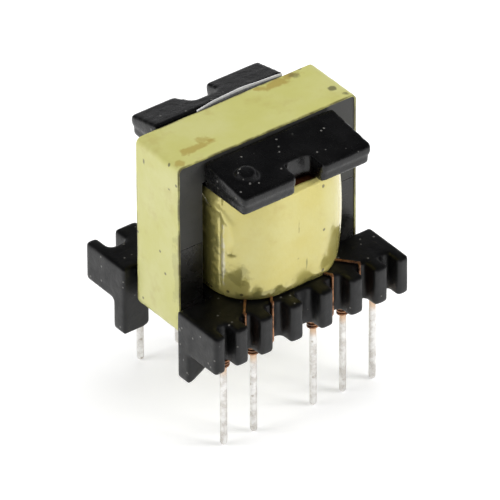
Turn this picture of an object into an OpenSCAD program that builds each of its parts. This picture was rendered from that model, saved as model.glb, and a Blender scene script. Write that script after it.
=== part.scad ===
// Small switch-mode power transformer for a circuit board.
// Two E-shaped ferrite halves close round a coil former that stands on four feet. The coil's axis
// is upright. Tape binds the core, and the wires leave the coil through slots in two toothed pin
// rails. The origin is on the axis of pin 1, where it meets the board. X runs along the pin rows
// and +Y points from the front row to the rear one.

/* [Ferrite core] */
// Width of the core across its outer legs
core_w = 16.1; // [15.9:0.1:17.5]
// Height of each E-shaped half
half_h = 7.2; // [6.5:0.1:9]
// Depth of the core from front to back
core_d = 5; // [4.5:0.1:6.5]
// Width of the centre leg
centre_leg_w = 4; // [3.4:0.1:4.6]
// Width of each outer leg
outer_leg_w = 2.1; // [1.7:0.1:2.3]
// Thickness of each half's back
yoke_t = 2; // [1.6:0.1:2.4]
// Air gap ground into the centre leg of the upper half
centre_gap = 0.2; // [0.1:0.05:0.6]
// Glue film between the two halves
glue_t = 0.06; // [0.02:0.02:0.1]
// Radius of the core's outer corners
core_corner_r = 0.35; // [0.2:0.05:0.6]

/* [Core tape] */
// Thickness of one layer of tape
tape_layer_t = 0.055; // [0.04:0.005:0.08]
// Number of layers round the core
tape_layers = 3; // [1:1:4]
// How far the tape stands past each face of the core
tape_overhang = 0.1; // [0.05:0.05:0.2]

/* [Coil former] */
// Height of the taped core above the board
standoff = 2.95; // [2.4:0.05:4]
// Clearance between the former and the ferrite
former_clear = 0.05; // [0.03:0.01:0.1]
// Wall of the tube that holds the centre leg
tube_wall = 0.6; // [0.4:0.05:0.8]
// Thickness of the lower flange
lower_flange_t = 0.7; // [0.5:0.05:1]
// Thickness of the upper flange inside the core's window
upper_flange_t = 0.42; // [0.3:0.02:0.6]
// Gap between the flanges' edges and the outer legs
flange_gap = 0.15; // [0.1:0.05:0.4]

/* [Top wings] */
// Height of each wing where it meets the core
wing_h = 2.35; // [2:0.05:2.45]
// Height of each wing at its tip
wing_tip_h = 1.72; // [1.2:0.02:2]
// Reach of the front wing from the core's face
front_wing_reach = 5; // [4:0.1:6]
// Reach of the rear wing from the core's face
rear_wing_reach = 3.95; // [3:0.05:5]
// Gap between the front wing and the core's face
front_wing_gap = 0.12; // [0.1:0.01:0.3]
// Gap between the rear wing and the core's face, with room for the film
rear_wing_gap = 0.75; // [0.6:0.05:1]
// How far the wings stand past the flange at each side
wing_proud = 0.1; // [0:0.05:0.3]
// Width of the notch in each wing's tip
notch_w = 2.4; // [1.8:0.1:3.6]
// Depth of that notch
notch_d = 1.75; // [1.2:0.05:2.2]
// Distance of the notches from the middle: the front one to the right, the rear one to the left
notch_shift = 0.2; // [0:0.05:0.4]
// How much wider the rear notch is at the tip than at its inner end
rear_notch_slant = 0.55; // [0.2:0.05:0.8]
// Radius at the inner end of the notches
notch_r = 0.45; // [0.3:0.05:0.7]
// Radius of the wings' corners in plan
wing_corner_r = 0.3; // [0.15:0.05:0.5]
// Radius of the wings' upper and lower edges at the tip
wing_edge_r = 0.3; // [0.15:0.05:0.4]
// How far the lower part of each wing's rim is set back
wing_step = 0.12; // [0.05:0.01:0.2]
// Height of that lower part
wing_step_h = 0.95; // [0.7:0.05:1.1]
// Diameter of the round boss on the front wing, where it leaves the wing
boss_d = 1.9; // [1.4:0.1:2.2]
// Diameter of the boss's top
boss_top_d = 1.3; // [0.8:0.1:1.4]
// Height of that boss
boss_h = 0.66; // [0.3:0.02:0.8]
// Distance of the boss from the wing's side
boss_from_side = 1.7; // [1.2:0.1:2.4]
// Distance of the boss from the wing's tip
boss_from_tip = 1.95; // [1.2:0.05:2.6]

/* [Pin rails] */
// How far the rails stand past the taped core at each end
rail_proud = 0.74; // [0.5:0.02:1.2]
// Gap between the tape's edge and the rails
rail_gap = 0.68; // [0.4:0.02:1]
// Depth of the front rail behind its teeth
front_rail_d = 3.37; // [3.3:0.01:3.8]
// Depth of the rear rail behind its teeth
rear_rail_d = 3.06; // [3:0.01:3.6]
// Height of each rail
rail_h = 3.33; // [3:0.01:3.6]
// Depth of both rails with their teeth
rail_reach = 4.79; // [4.5:0.01:5.4]
// Width of the front teeth
front_tooth_w = 1.2; // [0.9:0.05:1.4]
// Width of the rear teeth
rear_tooth_w = 2; // [1.6:0.05:2.2]
// Width of the two end teeth of each rail
end_tooth_w = 1; // [0.8:0.05:1.2]
// Width of the slot beside each end tooth of the front rail
end_slot_w = 0.92; // [0.7:0.02:1.1]
// Radius of the teeth's rounded edges
tooth_r = 0.3; // [0.15:0.05:0.4]
// Radius at the inner end of the front slots
front_slot_r = 0.28; // [0.15:0.01:0.32]
// Radius at the inner end of the rear slots
rear_slot_r = 0.42; // [0.15:0.01:0.5]

/* [Feet] */
// Length of each foot along the rail
foot_w = 2.4; // [1.8:0.1:2.8]
// Depth of each foot
foot_d = 1.4; // [1:0.05:1.8]
// Width of the flat under each front foot
front_foot_flat = 0.45; // [0.3:0.05:1.2]
// Slope of the front feet's inner side, in degrees from level
front_foot_slope = 32; // [20:1:38]
// Radius of the rear feet's inner corner
rear_foot_r = 0.4; // [0.2:0.05:0.6]

/* [Pins] */
// Diameter of the pins where they are tinned
pin_d = 0.55; // [0.5:0.01:0.65]
// Diameter of the pins inside the rail and under the wire
pin_root_d = 0.5; // [0.4:0.01:0.5]
// Length over which the tinning thins out below the wire
pin_taper = 0.6; // [0.55:0.05:0.8]
// Length of the pins below the board's surface
pin_reach = 5.38; // [3:0.02:6]
// Length of the pins inside the rail
pin_hold = 2.6; // [2:0.1:2.8]
// Radial clearance of the pins in the rail
pin_clear = 0.01; // [0.01:0.01:0.03]
// Distance between neighbouring front pin positions
front_pitch = 2.77; // [2.6:0.01:2.9]
// Distance between neighbouring rear pins
rear_pitch = 3.55; // [3.3:0.05:3.7]
// Distance from a rail's inner face to its pins' axes
pin_depth = 2.95; // [2.6:0.01:3]

/* [Coil] */
// Gap between the finished coil and the outer legs
coil_gap = 0.45; // [0.3:0.05:0.8]
// Gap between the windings and each flange
winding_margin = 0.1; // [0.05:0.05:0.3]
// Share by which the coil grows thicker outside the core than beside its legs
bulge = 1.16; // [1:0.02:1.3]
// Thickness of the insulation between two windings
layer_tape_t = 0.11; // [0.06:0.01:0.2]
// Thickness of the outer tape over the coil
coil_tape_t = 0.22; // [0.11:0.01:0.3]
// Share of the room for copper that the auxiliary winding fills
auxiliary_share = 0.12; // [0.08:0.01:0.2]
// Share of the room for copper that the secondary winding fills
secondary_share = 0.35; // [0.25:0.01:0.4]
// Clearance between the layers of the coil
layer_clear = 0.02; // [0.01:0.01:0.03]

/* [Leads] */
// Diameter of the front leads
front_lead_d = 0.22; // [0.15:0.01:0.26]
// Diameter of the rear leads
rear_lead_d = 0.3; // [0.2:0.01:0.34]
// Clearance between a lead and what it passes
lead_clear = 0.03; // [0.02:0.01:0.05]
// Turns of each lead round its pin
wrap_turns = 2.5; // [1.5:0.5:2.5]
// Where the front leads leave the coil, as a share of their slots' distance from the middle
lead_gather = 0.72; // [0.6:0.02:0.8]
// Length of each lead that lies under the secondary winding
lead_grip = 0.6; // [0.4:0.1:0.9]

/* [Film] */
// Thickness of the clear film behind the core
film_t = 0.08; // [0.05:0.01:0.12]
// Length of the film along the core
film_w = 7.8; // [5:0.1:10]
// Distance of the film's middle from the middle of the core
film_x = 1.4; // [0:0.1:1.8]
// Height of the film above the core's tape
film_rise = 0.2; // [0:0.05:0.5]
// Depth of the film's bow
film_bow = 0.3; // [0.1:0.02:0.36]
// Gap between the film and the tape's edge
film_gap = 0.05; // [0.05:0.05:0.1]

/* [Hidden] */
$fn = 48;

// The front pins' positions, counted from the left; position 3 has no pin
FRONT_PLACES = 6;
REAR_PINS = 4;
// The pins that a lead is wound round
LEADS = [1, 2, 4, 5, 7, 8, 9, 10];
// Steps of a lead's turn round its pin, and the sides of its section
WRAP_STEPS = 10;
WIRE_SIDES = 6;
// Sides of the whole circle that the film's bow is a part of
FILM_SIDES = 400;

// Levels, from the board's surface
tape_t = tape_layer_t * tape_layers;
core_z = standoff + tape_t;
core_h = 2 * half_h + glue_t;
window_z = core_z + yoke_t;
window_top = core_z + core_h - yoke_t;
rail_top = window_z + former_clear + lower_flange_t;
rail_under = rail_top - rail_h;
upper_flange_z = window_top - former_clear - upper_flange_t;

// Plan sizes, from the middle of the core
window_x = core_w / 2 - outer_leg_w;
flange_x = window_x - flange_gap;
rail_x = core_w / 2 + tape_t + rail_proud;
rail_y = core_d / 2 + tape_overhang + rail_gap;
front_out = rail_y + front_rail_d;
rear_out = rail_y + rear_rail_d;
tooth_tip = rail_y + rail_reach;
wing_x = flange_x + wing_proud;
tube_in = [centre_leg_w / 2 + former_clear, core_d / 2 + former_clear];
tube_out = tube_in + [tube_wall, tube_wall];
tube_r = 0.5;
// Overlap of the shapes that are fused into one moulding
fuse = 0.1;
// How far a cut runs past what it cuts
past = 1;
// Slack between the core and its tape
tape_slack = 0.005;

// Pins
pin_y = rail_y + pin_depth;
front_x = [for (i = [0 : FRONT_PLACES - 1]) (i - (FRONT_PLACES - 1) / 2) * front_pitch];
rear_x = [for (i = [0 : REAR_PINS - 1]) (i - (REAR_PINS - 1) / 2) * rear_pitch];
// Pins 7 to 10 run back along the rear rail, from the right
function pin_place(n) = n <= FRONT_PLACES
    ? [front_x[n - 1], -pin_y]
    : [rear_x[REAR_PINS + FRONT_PLACES - n], pin_y];

// Teeth: one outside each pin, except that the outermost front ones leave room for the end slots
outer_tooth_x = rail_x - end_tooth_w - end_slot_w - front_tooth_w / 2;
front_teeth = [-outer_tooth_x, each [for (i = [1 : FRONT_PLACES - 2]) front_x[i]], outer_tooth_x];
function mid(a, b) = (a + b) / 2;

// Room for the wire below the rail, and the upper end of the pins' tinned length
wrap_room = (wrap_turns + 1) * (rear_lead_d + lead_clear) + 2 * lead_clear;
tin_top = rail_under - wrap_room;

// Coil: the outline at a build b over the tube is a rounded rectangle that swells outwards
coil_build = window_x - coil_gap - tube_out[0];
coil_round = 1.19;
copper_room = coil_build - coil_tape_t - 2 * layer_tape_t;
primary_b = copper_room * (1 - auxiliary_share - secondary_share);
primary_tape_b = primary_b + layer_tape_t;
auxiliary_b = primary_tape_b + copper_room * auxiliary_share;
auxiliary_tape_b = auxiliary_b + layer_tape_t;
secondary_b = auxiliary_tape_b + copper_room * secondary_share;
coil_z = rail_top + winding_margin;
coil_h = upper_flange_z - winding_margin - coil_z;
function coil_x(b) = tube_out[0] + b;
function coil_y(b) = tube_out[1] + b * bulge;
function coil_r(b) = tube_r + b * coil_round;
// Half the coil's depth at a distance x from its middle
function coil_y_at(b, x) =
    let (past = max(0, abs(x) - (coil_x(b) - coil_r(b))))
    coil_y(b) - coil_r(b) + sqrt(pow(coil_r(b), 2) - pow(past, 2));

// Moves a piece from the middle of the core to the frame of pin 1
module from_pin_1() {
    translate([-front_x[0], pin_y, 0]) children();
}

// A rectangle centred on the origin, with half sizes h and corners of radius r
module round_rect(h, r) {
    square([2 * h[0], 2 * (h[1] - r)], center = true);
    square([2 * (h[0] - r), 2 * h[1]], center = true);
    for (sx = [-1, 1], sy = [-1, 1])
        translate([sx * (h[0] - r), sy * (h[1] - r)]) circle(r);
}

// Stands a profile drawn in X and Z on its edge, from y0 to y1
module upright(y0, y1) {
    translate([0, y1, 0]) rotate([90, 0, 0]) linear_extrude(y1 - y0) children();
}

// ---- Core ----

// One half as it lies with its back down: its profile, with its legs up
module half_profile(gap) {
    leg_h = half_h - yoke_t;
    intersection() {
        union() {
            translate([-core_w / 2, 0]) square([core_w, yoke_t]);
            for (s = [-1, 1])
                translate([s * (core_w - outer_leg_w) / 2 - outer_leg_w / 2, 0])
                    square([outer_leg_w, half_h]);
            translate([-centre_leg_w / 2, 0]) square([centre_leg_w, yoke_t + leg_h - gap]);
        }
        translate([0, half_h]) round_rect([core_w / 2, half_h], core_corner_r);
    }
}

module core_lower() {
    color("#35353a") from_pin_1()
        translate([0, 0, core_z]) upright(-core_d / 2, core_d / 2) half_profile(0);
}

module core_upper() {
    color("#3a3a40") from_pin_1()
        translate([0, 0, core_z + core_h]) mirror([0, 0, 1])
            upright(-core_d / 2, core_d / 2) half_profile(centre_gap);
}

// The tape is a closed band; its corners follow the core's
module core_tape() {
    half = [core_w / 2, core_h / 2];
    reach = core_d / 2 + tape_overhang;
    color("#d8d67c") from_pin_1()
        translate([0, 0, core_z + core_h / 2]) upright(-reach, reach) difference() {
            round_rect(half + [tape_t, tape_t], core_corner_r + tape_t);
            round_rect(half + [tape_slack, tape_slack], core_corner_r);
        }
}

// ---- Coil former ----

// One tooth of a rail, rounded on every outer edge, pointing to -Y; x0 and x1 are its sides
module tooth(x0, x1, root) {
    w = x1 - x0;
    reach = tooth_tip - root;
    translate([mid(x0, x1), 0, mid(rail_under, rail_top)]) intersection() {
        translate([0, -root, -rail_h / 2]) linear_extrude(rail_h)
            round_rect([w / 2, reach], tooth_r);
        upright(-tooth_tip, -root + tooth_r) round_rect([w / 2, rail_h / 2], tooth_r / 2);
        translate([-w / 2, -root, 0]) rotate([90, 0, 90]) linear_extrude(w)
            round_rect([reach, rail_h / 2], tooth_r);
    }
}

// A rail with its teeth, pointing to -Y. Its slots end at root, with corners of radius r;
// teeth lists each inner tooth's middle.
module rail(teeth, tooth_w, root, r) {
    ends = rail_x - end_tooth_w;
    sides = [-rail_x, -ends, each [for (x = teeth) each [x - tooth_w / 2, x + tooth_w / 2]], ends, rail_x];
    difference() {
        translate([-rail_x, -root - r, rail_under]) cube([2 * rail_x, root + r - rail_y, rail_h]);
        for (i = [1 : 2 : len(sides) - 3])
            translate([mid(sides[i], sides[i + 1]), -tooth_tip, rail_under - past])
                linear_extrude(rail_h + 2 * past)
                    round_rect([(sides[i + 1] - sides[i]) / 2, tooth_tip - root], r);
    }
    for (i = [0 : 2 : len(sides) - 2]) tooth(sides[i], sides[i + 1], root);
}

// A front foot at the left end: its inner side slopes up from a narrow flat
module front_foot() {
    rise = (foot_w - front_foot_flat) * tan(front_foot_slope);
    upright(-rail_y - foot_d, -rail_y) translate([-rail_x, 0]) polygon([
        [0, 0], [front_foot_flat, 0], [foot_w, rise],
        [foot_w, rail_under + fuse], [0, rail_under + fuse]
    ]);
}

// A rear foot at the left end: flat below, with one rounded corner
module rear_foot() {
    upright(rail_y, rail_y + foot_d) translate([-rail_x, 0]) {
        translate([0, rear_foot_r]) square([foot_w, rail_under + fuse - rear_foot_r]);
        square([foot_w - rear_foot_r, rail_under]);
        translate([foot_w - rear_foot_r, rear_foot_r]) circle(rear_foot_r);
    }
}

// The outline of a wing that reaches from y0 to y1, with a notch in its tip. Its outer sides are
// set in by inset, and slant widens the notch towards the tip.
module wing_plan(y0, y1, inset, slant) {
    inner_end = y1 - notch_d;
    side = wing_x - inset;
    notch_sides = [notch_shift - notch_w / 2, notch_shift + notch_w / 2];
    difference() {
        union() {
            translate([-side, -inner_end - notch_r]) square([2 * side, inner_end + notch_r - y0]);
            for (tab = [[-side, notch_sides[0]], [notch_sides[1], side]])
                translate([mid(tab[0], tab[1]), -inner_end])
                    round_rect([(tab[1] - tab[0]) / 2, notch_d - inset], wing_corner_r);
        }
        translate([notch_shift, -y1]) round_rect([notch_w / 2, notch_d], notch_r);
        polygon([[notch_sides[1] - notch_r, -inner_end - notch_r], [notch_sides[1], -inner_end - notch_r],
                 [notch_sides[1] + slant, -y1], [notch_sides[1] - notch_r, -y1]]);
    }
}

// A wing of the upper flange, pointing to -Y: its top slopes down to a rounded tip, and the lower
// part of its rim is set back
module wing(gap, reach, slant) {
    y0 = core_d / 2 + gap;
    y1 = core_d / 2 + reach;
    tip = wing_edge_r - y1;
    translate([0, 0, upper_flange_z]) intersection() {
        union() {
            linear_extrude(wing_h) wing_plan(y0, y1, wing_step, slant);
            translate([0, 0, wing_step_h]) linear_extrude(wing_h) wing_plan(y0, y1, 0, slant);
        }
        translate([-wing_x, 0, 0]) rotate([90, 0, 90]) linear_extrude(2 * wing_x) {
            translate([-y1, wing_step_h]) square([y1 - y0, wing_tip_h - wing_edge_r - wing_step_h]);
            translate([tip, wing_tip_h - wing_edge_r]) circle(wing_edge_r);
            translate([tip + wing_step, wing_edge_r]) circle(wing_edge_r);
            translate([wing_step - y1, wing_edge_r])
                square([y1 - y0 - wing_step, wing_step_h - wing_edge_r]);
            polygon([[tip + wing_step, 0], [-y0, 0], [-y0, wing_h], [tip, wing_tip_h],
                     [tip, wing_step_h], [tip + wing_step, wing_step_h]]);
        }
    }
}

// The round boss on the front wing's sloping top: a short cone on a foot sunk in the wing
module boss() {
    from_core = front_wing_reach - boss_from_tip - front_wing_gap;
    run = front_wing_reach - front_wing_gap - wing_edge_r;
    top = wing_h - (wing_h - wing_tip_h) * from_core / run;
    translate([boss_from_side - wing_x, boss_from_tip - core_d / 2 - front_wing_reach,
               upper_flange_z]) {
        translate([0, 0, wing_tip_h / 2]) cylinder(d = boss_d, h = top - wing_tip_h / 2);
        translate([0, 0, top]) cylinder(d1 = boss_d, d2 = boss_top_d, h = boss_h);
    }
}

// A flange's plate, which passes between the outer legs
module flange(z, t, y0, y1) {
    translate([-flange_x, y0, z]) cube([2 * flange_x, y1 - y0, t]);
}

// The blind hole that holds a pin
module pin_hole(place) {
    translate([place[0], place[1], rail_under - past])
        cylinder(r = pin_root_d / 2 + pin_clear, h = pin_hold + past);
}

module coil_former() {
    color("#1c1c1e") from_pin_1() difference() {
        union() {
            rail(front_teeth, front_tooth_w, front_out, front_slot_r);
            mirror([0, 1, 0]) rail(rear_x, rear_tooth_w, rear_out, rear_slot_r);
            for (s = [0, 1]) mirror([s, 0, 0]) {
                front_foot();
                rear_foot();
            }
            flange(window_z + former_clear, lower_flange_t, -rail_y - fuse, rail_y + fuse);
            flange(upper_flange_z, upper_flange_t,
                -core_d / 2 - front_wing_gap - fuse, core_d / 2 + rear_wing_gap + fuse);
            translate([0, 0, rail_top - fuse])
                linear_extrude(upper_flange_z - rail_top + 2 * fuse) round_rect(tube_out, tube_r);
            wing(front_wing_gap, front_wing_reach, 0);
            rotate([0, 0, 180]) wing(rear_wing_gap, rear_wing_reach, rear_notch_slant);
            boss();
        }
        translate([-tube_in[0], -tube_in[1], window_z])
            cube([2 * tube_in[0], 2 * tube_in[1], window_top - window_z]);
        for (n = [1 : FRONT_PLACES + REAR_PINS]) pin_hole(pin_place(n));
    }
}

// ---- Coil ----

// One layer of the coil, from build b0 to build b1
module layer(b0, b1) {
    translate([0, 0, coil_z]) linear_extrude(coil_h) difference() {
        round_rect([coil_x(b1), coil_y(b1)], coil_r(b1));
        round_rect([coil_x(b0) + layer_clear, coil_y(b0) + layer_clear], coil_r(b0));
    }
}

module primary_winding() {
    color("#b4642e") from_pin_1() layer(0, primary_b);
}

module primary_tape() {
    color("#e2dc7a") from_pin_1() layer(primary_b, primary_tape_b);
}

module auxiliary_winding() {
    color("#c06c34") from_pin_1() layer(primary_tape_b, auxiliary_b);
}

module auxiliary_tape() {
    color("#e2dc7a") from_pin_1() layer(auxiliary_b, auxiliary_tape_b);
}

module secondary_winding() {
    color("#c8763c") from_pin_1() difference() {
        layer(auxiliary_tape_b, secondary_b);
        lead_passages();
    }
}

// The outer tape, which the leads leave at its lower edge
module coil_tape() {
    color("#cfcb6c") from_pin_1() difference() {
        layer(secondary_b, coil_build);
        lead_passages();
    }
}

// A thin clear strip that stands in the gap between the core and the rear wing, bowed in plan
module film_strip() {
    bow_r = (pow(film_w / 2, 2) + pow(film_bow, 2)) / (2 * film_bow);
    y0 = core_d / 2 + tape_overhang + film_gap;
    film_h = core_z + core_h + tape_t + film_rise - upper_flange_z - upper_flange_t;
    color("#cfd2d0") from_pin_1()
        translate([film_x, y0, upper_flange_z + upper_flange_t]) linear_extrude(film_h)
            intersection() {
                translate([0, film_bow - bow_r]) difference() {
                    circle(bow_r + film_t, $fn = FILM_SIDES);
                    circle(bow_r, $fn = FILM_SIDES);
                }
                translate([-film_w / 2, 0]) square([film_w, film_bow + past]);
            }
}

// ---- Pins ----

// A pin: a bare root in the rail and under the wire, and a tinned length below with a round tip
module pin(n) {
    place = pin_place(n);
    color("#d9d6d0") from_pin_1() translate([place[0], place[1], 0]) {
        translate([0, 0, tin_top]) cylinder(d = pin_root_d, h = rail_under + pin_hold - tin_top);
        translate([0, 0, tin_top - pin_taper]) cylinder(d1 = pin_d, d2 = pin_root_d, h = pin_taper);
        translate([0, 0, pin_d / 2 - pin_reach]) {
            cylinder(d = pin_d, h = tin_top - pin_taper + pin_reach - pin_d / 2);
            sphere(d = pin_d);
        }
    }
}

// ---- Leads ----

// Every lead runs from the coil over the lower flange, down its slot and round its pin's root.
// The rear leads are drawn like front ones and mirrored.
function at_rear(n) = n > FRONT_PLACES;
function lead_d(n) = at_rear(n) ? rear_lead_d : front_lead_d;
function lead_slot(n) =
    n == 7 ? rear_pitch :
    n == 8 ? rear_lead_d + lead_clear :
    n == 9 ? -rear_lead_d - lead_clear :
    n == 10 ? -rear_pitch :
    mid(front_teeth[n - 1], front_teeth[n]);
// Distance from an edge that a lead bends over to the lead's middle
function lead_bend(n) = lead_d(n) / 2 + lead_clear;
// How far out a lead lies in its slot, and its height over the rail
function lead_out(n) = (at_rear(n) ? rear_out : front_out) + lead_bend(n);
function lead_z(n) = rail_top + lead_bend(n);
// Where a lead starts inside the coil; the front ones start nearer the middle than their slots
function lead_start(n) =
    let (x = lead_slot(n) * (at_rear(n) ? 1 : lead_gather))
    [x, lead_grip - coil_y_at(secondary_b, x), lead_z(n)];

function lead_path(n) =
    let (r = lead_d(n) / 2,
         pin_x = pin_place(n)[0],
         x = lead_slot(n),
         side = sign(x - pin_x),
         over = lead_bend(n),
         under = 2 * lead_bend(n),
         z0 = rail_under - lead_bend(n),
         wrap_r = pin_root_d / 2 + lead_bend(n),
         pitch = 2 * r + lead_clear,
         steps = wrap_turns * WRAP_STEPS)
    concat(
        [lead_start(n)],
        [for (a = [0 : 30 : 90])
            [x, -lead_out(n) + over * (1 - sin(a)), lead_z(n) - over * (1 - cos(a))]],
        [for (a = [0 : 30 : 90])
            [x - side * under * (1 - cos(a)), -lead_out(n), z0 + under * (1 - sin(a))]],
        [for (i = [0 : steps])
            let (a = -90 - side * i * 360 / WRAP_STEPS)
            [pin_x + wrap_r * cos(a), -pin_y + wrap_r * sin(a), z0 - pitch * i / WRAP_STEPS]]
    );

function unit(v) = v / norm(v);
// The direction of a path at its point i
function tangent(p, i) = unit(p[min(i + 1, len(p) - 1)] - p[max(i - 1, 0)]);
// One normal for each point, each carried on from the one before
function normals(p, done) =
    let (i = len(done))
    i == len(p) ? done :
    let (t = tangent(p, i), last = done[i - 1])
    normals(p, concat(done, [unit(last - (last * t) * t)]));

// A round wire of radius r along a path
module wire(path, r) {
    first = unit(cross(tangent(path, 0), [0, 0, 1]));
    n = normals(path, [first]);
    points = [for (i = [0 : len(path) - 1])
        let (b = cross(tangent(path, i), n[i]))
        each [for (k = [0 : WIRE_SIDES - 1])
            let (a = k * 360 / WIRE_SIDES)
            path[i] + r * (cos(a) * n[i] + sin(a) * b)]];
    last = (len(path) - 1) * WIRE_SIDES;
    faces = concat(
        [[for (k = [0 : WIRE_SIDES - 1]) k]],
        [for (i = [0 : len(path) - 2], k = [0 : WIRE_SIDES - 1])
            let (m = (k + 1) % WIRE_SIDES, at = i * WIRE_SIDES)
            [at + k, at + WIRE_SIDES + k, at + WIRE_SIDES + m, at + m]],
        [[for (k = [WIRE_SIDES - 1 : -1 : 0]) last + k]]
    );
    polyhedron(points, faces);
}

module lead(n) {
    color(at_rear(n) ? "#c9803f" : "#b8652e") from_pin_1()
        mirror([0, at_rear(n) ? 1 : 0, 0]) wire(lead_path(n), lead_d(n) / 2);
}

// The room that a lead needs in the coil: a passage from its start to past the outer tape, and a
// notch where it turns down beside the rail
module lead_passage(n) {
    bend = lead_bend(n);
    start = lead_start(n);
    way = [lead_slot(n), bend - lead_out(n), lead_z(n)] - start;
    mirror([0, at_rear(n) ? 1 : 0, 0]) {
        translate(start) rotate([0, 0, atan2(way[1], way[0])]) rotate([0, 90, 0])
            translate([0, 0, -lead_clear]) cylinder(r = bend, h = norm(way) + lead_grip);
        translate([lead_slot(n) - bend, -lead_out(n) - bend, rail_top])
            cube([2 * bend, 3 * bend, 2 * bend]);
    }
}

module lead_passages() {
    for (n = LEADS) lead_passage(n);
}

coil_former();
core_lower();
core_upper();
core_tape();
primary_winding();
primary_tape();
auxiliary_winding();
auxiliary_tape();
secondary_winding();
coil_tape();
film_strip();
pin(1);  // pin_1
pin(2);  // pin_2
pin(4);  // pin_4
pin(5);  // pin_5
pin(6);  // pin_6
pin(7);  // pin_7
pin(8);  // pin_8
pin(9);  // pin_9
pin(10);  // pin_10
lead(1);  // lead_1
lead(2);  // lead_2
lead(4);  // lead_4
lead(5);  // lead_5
lead(7);  // lead_7
lead(8);  // lead_8
lead(9);  // lead_9
lead(10);  // lead_10
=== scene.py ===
# %% [markdown]
# # A circuit board transformer
#
# Two E-shaped ferrite halves close round a black former that holds the windings, and yellow tape
# binds both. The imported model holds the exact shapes: the toothed former, the ferrite halves, the
# pins and the windings. Those could all be modelled again here, but exact shapes are worth
# keeping, so only what is soft or thin is made anew: the tapes, the film and the wires. Each
# finish gets a material of its own. All lengths are in metres.

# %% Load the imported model
import math

import bmesh
import bpy
from mathutils import Matrix, Vector, noise


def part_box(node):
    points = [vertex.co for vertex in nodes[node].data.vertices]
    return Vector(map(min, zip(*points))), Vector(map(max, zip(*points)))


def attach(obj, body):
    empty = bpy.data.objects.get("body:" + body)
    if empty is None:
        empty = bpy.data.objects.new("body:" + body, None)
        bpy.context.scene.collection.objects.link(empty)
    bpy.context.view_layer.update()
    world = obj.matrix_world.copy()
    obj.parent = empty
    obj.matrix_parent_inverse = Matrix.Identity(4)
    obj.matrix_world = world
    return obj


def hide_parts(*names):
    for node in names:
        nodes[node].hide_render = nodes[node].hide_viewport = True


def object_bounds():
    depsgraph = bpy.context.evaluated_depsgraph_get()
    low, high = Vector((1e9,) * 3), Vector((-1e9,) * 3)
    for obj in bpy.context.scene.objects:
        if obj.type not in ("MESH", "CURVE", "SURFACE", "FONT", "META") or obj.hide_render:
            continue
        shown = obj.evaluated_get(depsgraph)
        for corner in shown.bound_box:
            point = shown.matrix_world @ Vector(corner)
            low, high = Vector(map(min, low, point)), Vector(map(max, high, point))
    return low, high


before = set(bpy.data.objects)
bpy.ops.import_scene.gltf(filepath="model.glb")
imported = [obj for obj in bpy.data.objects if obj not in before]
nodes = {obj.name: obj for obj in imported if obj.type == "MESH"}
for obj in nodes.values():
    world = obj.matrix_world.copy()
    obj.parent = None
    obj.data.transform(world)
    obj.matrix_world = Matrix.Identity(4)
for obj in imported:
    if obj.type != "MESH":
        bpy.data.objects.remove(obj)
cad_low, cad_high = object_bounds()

MM = 0.001
print("pieces in the frame:", len(nodes))

# %% [markdown]
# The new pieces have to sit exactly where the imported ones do. Their sizes could be typed in, but
# they are read from the boxes of the pieces that they replace, so they stay right if the model
# changes.

# %% Measure the frame
tape_low, tape_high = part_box("core_tape")
coil_low, coil_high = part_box("coil_tape")
film_low, film_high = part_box("film_strip")
MIDDLE_X = (tape_low[0] + tape_high[0]) / 2
MIDDLE_Y = (tape_low[1] + tape_high[1]) / 2
TAPE_MIDDLE_Z = (tape_low[2] + tape_high[2]) / 2
FLOOR_Z = cad_low[2]
print("taped core in mm:", [round((b - a) / MM, 2) for a, b in zip(tape_low, tape_high)])

# %% [markdown]
# ## Helpers
#
# A material in Blender is a tree of nodes. It could be drawn by hand in the shader editor. Small
# functions are used instead: one adds a node and fills its sockets, and the others do a step of
# arithmetic, a mix of two colours or a soft change from one value to another.

# %% Node helpers
def add(tree, kind, sockets=None, **settings):
    """Adds a shader node; a socket's value is a number, a colour or another node's output."""
    made = tree.nodes.new("ShaderNode" + kind)
    for name, value in settings.items():
        setattr(made, name, value)
    for key, value in (sockets or {}).items():
        if isinstance(value, bpy.types.NodeSocket):
            tree.links.new(value, made.inputs[key])
        else:
            made.inputs[key].default_value = value
    return made


def calc(tree, operation, a, b=0.0):
    """One arithmetic step on two numbers or outputs."""
    step = add(tree, "Math", {0: a, 1: b}, operation=operation)
    return step.outputs[0]


def blend(tree, amount, first, second):
    """Mixes two colours."""
    mix = add(tree, "Mix", {0: amount, 6: first, 7: second}, data_type="RGBA")
    return mix.outputs[2]


def ramp(tree, value, low, high, out_low=0.0, out_high=1.0):
    """Maps a value smoothly from one range to another, without passing its ends."""
    step = add(
        tree, "MapRange",
        {"Value": value, "From Min": low, "From Max": high, "To Min": out_low, "To Max": out_high},
        interpolation_type="SMOOTHSTEP",
    )
    return step.outputs["Result"]


def rgb(red, green, blue):
    """A colour for a node, fully opaque."""
    return (red, green, blue, 1.0)


print("helpers: add, calc, blend, ramp and rgb")


# %% [markdown]
# ## Effects that several finishes share
#
# Blotches, spots, specks and pale edges turn up on the tape, the moulding and the ferrite alike.
# The pale edges are chips on the ferrite and a painted highlight on the moulding, and the spots on
# the coil's tape are painted shade and a painted highlight.
# Their nodes could be copied into each material. A node group with named inputs is built once and
# placed with other values each time, so a change to the effect reaches every finish.

# %% Start a node group
def new_group(name, inputs, output):
    """Makes a group whose first input is a position; the other inputs are given as defaults."""
    tree = bpy.data.node_groups.new(name, "ShaderNodeTree")
    tree.interface.new_socket("Vector", in_out="INPUT", socket_type="NodeSocketVector")
    for label, value in inputs.items():
        kind = "NodeSocketVector" if isinstance(value, tuple) else "NodeSocketFloat"
        made = tree.interface.new_socket(label, in_out="INPUT", socket_type=kind)
        made.default_value = value
    tree.interface.new_socket(output, in_out="OUTPUT", socket_type="NodeSocketFloat")
    start = tree.nodes.new("NodeGroupInput").outputs
    end = tree.nodes.new("NodeGroupOutput").inputs
    return tree, start, end


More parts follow.
